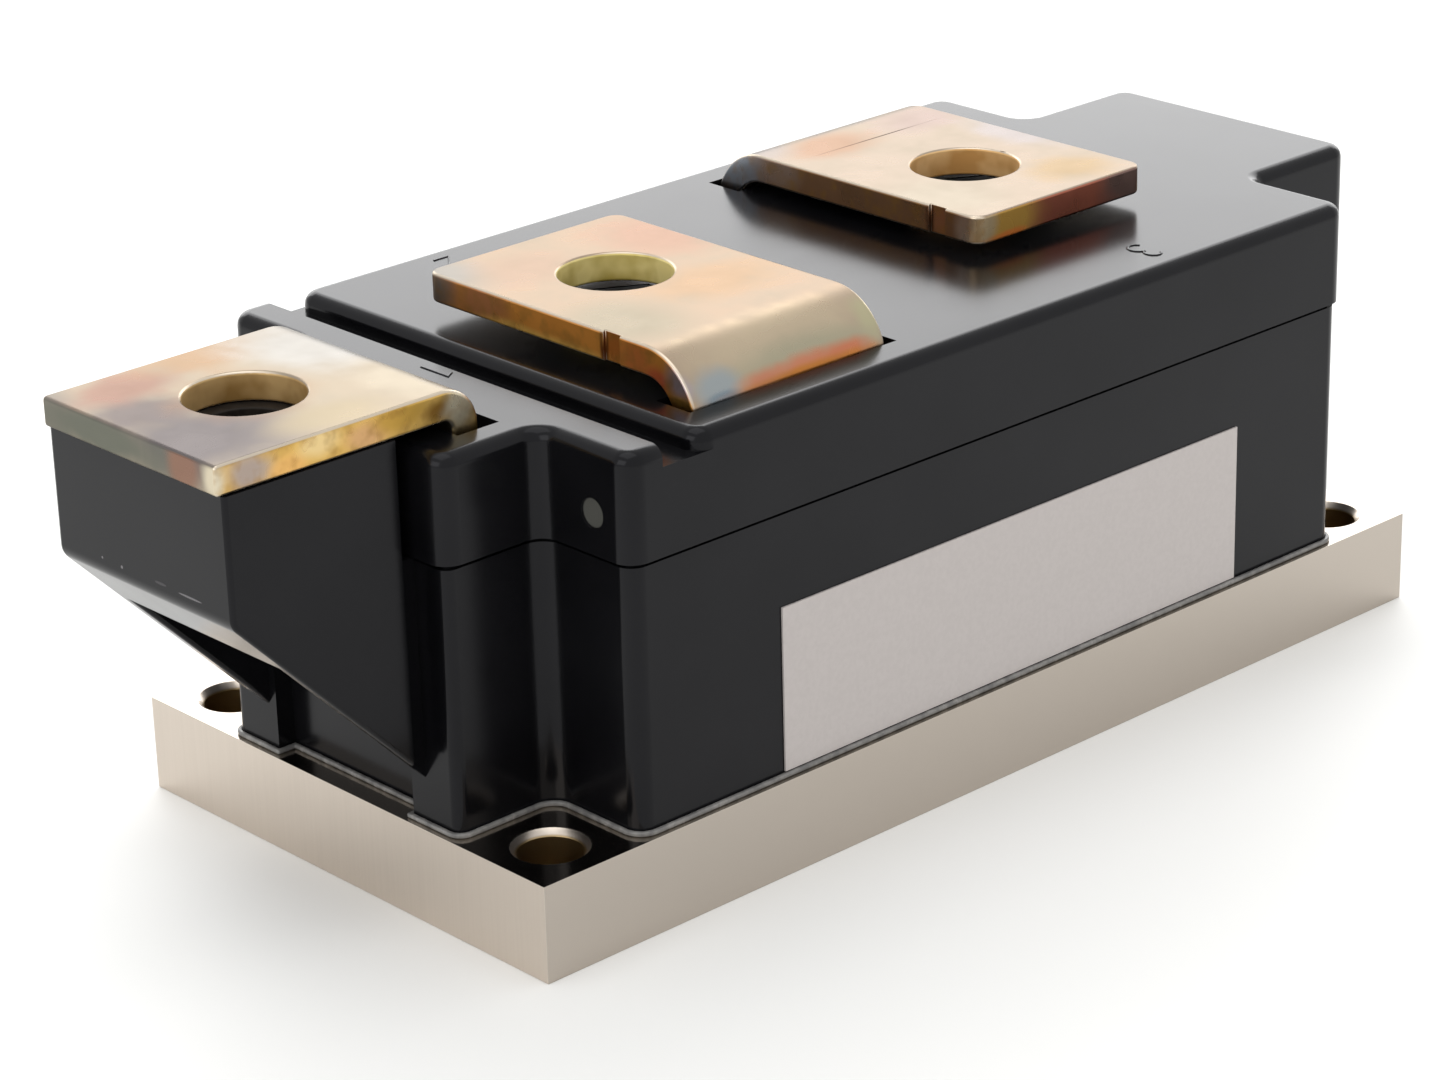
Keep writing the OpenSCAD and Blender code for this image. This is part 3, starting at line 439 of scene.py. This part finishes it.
def plainFinish(slotName):
    name, settings, tones, grain, roughness, strength = plainFinishes[slotName]
    material, tree, shader = startMaterial(name, settings)
    atPlace = {"Vector": add(tree, "ShaderNodeTexCoord")["Object"]}
    noise = add(tree, "ShaderNodeTexNoise", {"Scale": perMetre(grain), "Detail": 3.0}, atPlace)["Fac"]
    ramp = zip(plainSkin["toneStops"], tones)
    colour = add(tree, "ShaderNodeValToRGB", {"ramp": ramp}, {0: noise})[0]
    roughRange = {"from": plainSkin["roughnessStops"], "to": roughness}
    rough = add(tree, "ShaderNodeMapRange", roughRange, {"Value": noise})[0]
    relief = {"Strength": strength, "Distance": plainSkin["bumpHeight"] * mm}
    bump = add(tree, "ShaderNodeBump", relief, {"Height": noise})[0]
    feed(tree, shader, {"Base Color": colour, "Roughness": rough, "Normal": bump})
    return material


# edge rounding in millimetres for each piece that shows
edges = {
    "baseplate": 0.25, "housing_frame": 0.45, "cover": 0.15, "sealing_bead": 0.18,
    "terminal_1": 0.4, "terminal_2": 0.3, "terminal_3": 0.3, "terminal_nuts": 0.2,
}
# a box in millimetres and the shares of the rounding that edges inside and outside it get:
# only the nose of the frame is rounded, and the strips are rounded less in their location notches
edgeShares = {
    "housing_frame": {"middle": (-79, 0, 24), "half": (15, 30, 24.5), "inside": 1.0, "outside": 0.0},
    "terminal_2": {"middle": (-36.8, -13.3, 50), "half": (0.4, 1.3, 5), "inside": 0.35, "outside": 1.0},
    "terminal_3": {"middle": (12.2, -8, 50), "half": (0.4, 1.3, 5), "inside": 0.35, "outside": 1.0},
}
# weld reach in millimetres, angles in degrees
rounding = {"weldReach": 0.0005, "flatAngle": 0.3, "sharpAngle": 35, "segments": 3, "flatWeight": 50}


def startMeshTree(name):
    tree = bpy.data.node_groups.new(name, "GeometryNodeTree")
    tree.interface.new_socket("Geometry", in_out="INPUT", socket_type="NodeSocketGeometry")
    tree.interface.new_socket("Geometry", in_out="OUTPUT", socket_type="NodeSocketGeometry")
    return tree, add(tree, "NodeGroupInput")[0]


# smooth shading on the welded mesh, so that the bevel below sees whole edges
def weldAndSmooth():
    tree, start = startMeshTree("weldAndSmooth")
    weld = {"Distance": rounding["weldReach"] * mm}
    welded = add(tree, "GeometryNodeMergeByDistance", weld, {"Geometry": start})[0]
    smooth = add(tree, "GeometryNodeSetShadeSmooth", {"Shade Smooth": True}, {"Geometry": welded})[0]
    add(tree, "NodeGroupOutput", {}, {0: smooth})
    return tree


def creaseAndWeigh(name):
    look = edgeShares[name]
    tree, start = startMeshTree("creaseAndWeigh." + name)
    angle = add(tree, "GeometryNodeInputMeshEdgeAngle")[0]
    sharp = {"operation": "GREATER_THAN", "B": math.radians(rounding["sharpAngle"])}
    isSharp = add(tree, "FunctionNodeCompare", sharp, {"A": angle})[0]
    place = add(tree, "GeometryNodeInputPosition")[0]
    away = sizeAlong(tree, offset(tree, place, look["middle"], look["half"]))
    flatAway = add(tree, "ShaderNodeMath", {"operation": "MAXIMUM"}, {0: away["X"], 1: away["Y"]})[0]
    farthest = add(tree, "ShaderNodeMath", {"operation": "MAXIMUM"}, {0: flatAway, 1: away["Z"]})[0]
    isInside = add(tree, "FunctionNodeCompare", {"operation": "LESS_THAN", "B": 1.0}, {"A": farthest})[0]
    shares = {"input_type": "FLOAT", "False": look["outside"], "True": look["inside"]}
    share = add(tree, "GeometryNodeSwitch", shares, {"Switch": isInside})[0]
    weight = add(tree, "ShaderNodeMath", {"operation": "MULTIPLY"}, {0: share, 1: isSharp})[0]
    crease = {"domain": "EDGE", "Shade Smooth": False}
    creased = add(tree, "GeometryNodeSetShadeSmooth", crease, {"Geometry": start, "Selection": isSharp})[0]
    weigh = {"domain": "EDGE", "Name": "bevel_weight_edge"}
    weighed = add(tree, "GeometryNodeStoreNamedAttribute", weigh, {"Geometry": creased, "Value": weight})[0]
    add(tree, "NodeGroupOutput", {}, {0: weighed})
    return tree


welder = weldAndSmooth()


def roundEdges(name, width):
    piece = nodes[name]
    piece.modifiers.new("weld", "NODES").node_group = welder
    flats = piece.modifiers.new("flats", "DECIMATE")
    flats.decimate_type = "DISSOLVE"
    flats.angle_limit = math.radians(rounding["flatAngle"])
    isWeighed = name in edgeShares
    if isWeighed:
        piece.modifiers.new("creases", "NODES").node_group = creaseAndWeigh(name)
    bevel = piece.modifiers.new("edges", "BEVEL")
    bevel.width = width * mm
    bevel.segments = rounding["segments"]
    bevel.limit_method = "WEIGHT" if isWeighed else "ANGLE"
    bevel.angle_limit = math.radians(rounding["sharpAngle"])
    bevel.use_clamp_overlap = name != "housing_frame"  # its short edges would hold the rounding back
    shade = piece.modifiers.new("shade", "WEIGHTED_NORMAL")
    shade.weight = rounding["flatWeight"]
    shade.keep_sharp = isWeighed


finishes = {"nickel_plate": nickelPlate(), "black_moulding": blackMoulding()}
finishes.update({slotName: plainFinish(slotName) for slotName in plainFinishes})
for part in frame["record"]["subparts"]:
    name = part["node"]
    finish = heatTintedPlate(name) if name in strips else finishes.get(name, finishes[part["material_slot"]])
    nodes[name].data.materials.clear()
    nodes[name].data.materials.append(finish)
    if name in edges:
        roundEdges(name, edges[name])
print("finishes laid on", len(nodes), "nodes")

# raised digits beside the terminals, moulded with the cover; they read from the far side
digits = {
    "height": 4.0, "width": 1.9, "stroke": 0.17, "sink": 0.06, "roundness": 3,
    "places": {"1": (-46.95, 0.66, 47.8), "2": (-24.88, 24.37, 47.8), "3": (25.1, -24.4, 47.8)},
}


# a bend of a stroke, from one angle in degrees to another
def arc(middle, across, up, start, end, steps=9):
    turn = [math.radians(start + (end - start) * i / (steps - 1)) for i in range(steps)]
    return [(middle[0] + across * math.cos(a), middle[1] + up * math.sin(a)) for a in turn]


# strokes in a box one wide and one high, from the foot up
digitStrokes = {
    "1": [(0.0, 0.83), (0.5, 1.0), (0.5, 0.0)],
    "2": arc((0.5, 0.72), 0.5, 0.28, 165, -40) + [(0.0, 0.0), (1.0, 0.0)],
    "3": arc((0.45, 0.76), 0.45, 0.24, 150, -80) + arc((0.45, 0.27), 0.55, 0.27, 80, -150),
}


def mouldedDigit(digit):
    middle = digits["places"][digit]
    curve = bpy.data.curves.new("digit" + digit, "CURVE")
    curve.dimensions = "3D"
    curve.bevel_depth = digits["stroke"] * mm
    curve.bevel_resolution = digits["roundness"]
    curve.use_fill_caps = True
    points = digitStrokes[digit]
    line = curve.splines.new("POLY")
    line.points.add(len(points) - 1)
    for point, (across, up) in zip(line.points, points):
        x = middle[0] - (across - 0.5) * digits["width"]
        y = middle[1] - (up - 0.5) * digits["height"]
        point.co = (x * mm, y * mm, (middle[2] - digits["sink"]) * mm, 1.0)
    piece = bpy.data.objects.new("moulded_digit_" + digit, curve)
    bpy.context.scene.collection.objects.link(piece)
    curve.materials.append(finishes["black_moulding"])
    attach(piece, "root")


for digit in digitStrokes:
    mouldedDigit(digit)
print("digits moulded")

# paper floor, matt and pale: its size in metres, its drop below the part in millimetres
floorLook = {"size": 6.0, "drop": 0.02, "shader": {"Base Color": "#f4f4f2", "Roughness": 0.6}}
bpy.ops.mesh.primitive_plane_add(size=floorLook["size"], location=(0, 0, -floorLook["drop"] * mm))
floor = bpy.context.object
floor.name = "floor"
floorPaint = startMaterial("paperFloor", floorLook["shader"])[0]
floor.data.materials.append(floorPaint)

# soft boxes: place and aim in metres, size in metres, radiance against a white of one
softBoxes = {
    "back": {"place": (0.66, 0.70, 0.44), "aim": (0, 0, 0.03), "size": (1.7, 0.7), "radiance": 2.35},
    "overhead": {"place": (-0.1, 0.0, 1.0), "aim": (0, 0, 0), "size": (0.8, 0.8), "radiance": 1.0},
    "left": {"place": (-0.9, -0.15, 0.45), "aim": (0, 0, 0.03), "size": (0.7, 0.6), "radiance": 1.35},
}
for name, box in softBoxes.items():
    lamp = bpy.data.lights.new("softBox." + name, "AREA")
    lamp.shape = "RECTANGLE"
    lamp.size, lamp.size_y = box["size"]
    lamp.energy = box["radiance"] * math.pi * lamp.size * lamp.size_y
    holder = bpy.data.objects.new("softBox." + name, lamp)
    bpy.context.scene.collection.objects.link(holder)
    holder.location = box["place"]
    holder.rotation_euler = (Vector(box["aim"]) - Vector(box["place"])).to_track_quat("-Z", "Y").to_euler()

room = {"tone": "#ffffff", "strength": 0.92}
world = bpy.data.worlds.new("room")
world.use_nodes = True
sky = world.node_tree.nodes["Background"]
sky.inputs["Color"].default_value = linear(room["tone"])
sky.inputs["Strength"].default_value = room["strength"]
bpy.context.scene.world = world
bpy.context.scene.view_settings.view_transform = "Standard"

# camera fitted to the photo's baseplate, holes and terminals;
# lens in millimetres, place and near limit in metres, turn in degrees
cameraFit = {
    "lens": 103.583, "nearLimit": 0.01,
    "place": (-0.27609, -0.28754, 0.18054), "turn": (67.694, 1.431, -43.189),
}
camera = bpy.data.objects.new("camera", bpy.data.cameras.new("camera"))
camera.data.lens = cameraFit["lens"]
camera.data.clip_start = cameraFit["nearLimit"]
camera.location = cameraFit["place"]
camera.rotation_euler = [math.radians(angle) for angle in cameraFit["turn"]]
bpy.context.scene.collection.objects.link(camera)
bpy.context.scene.camera = camera
print("stage and camera set")
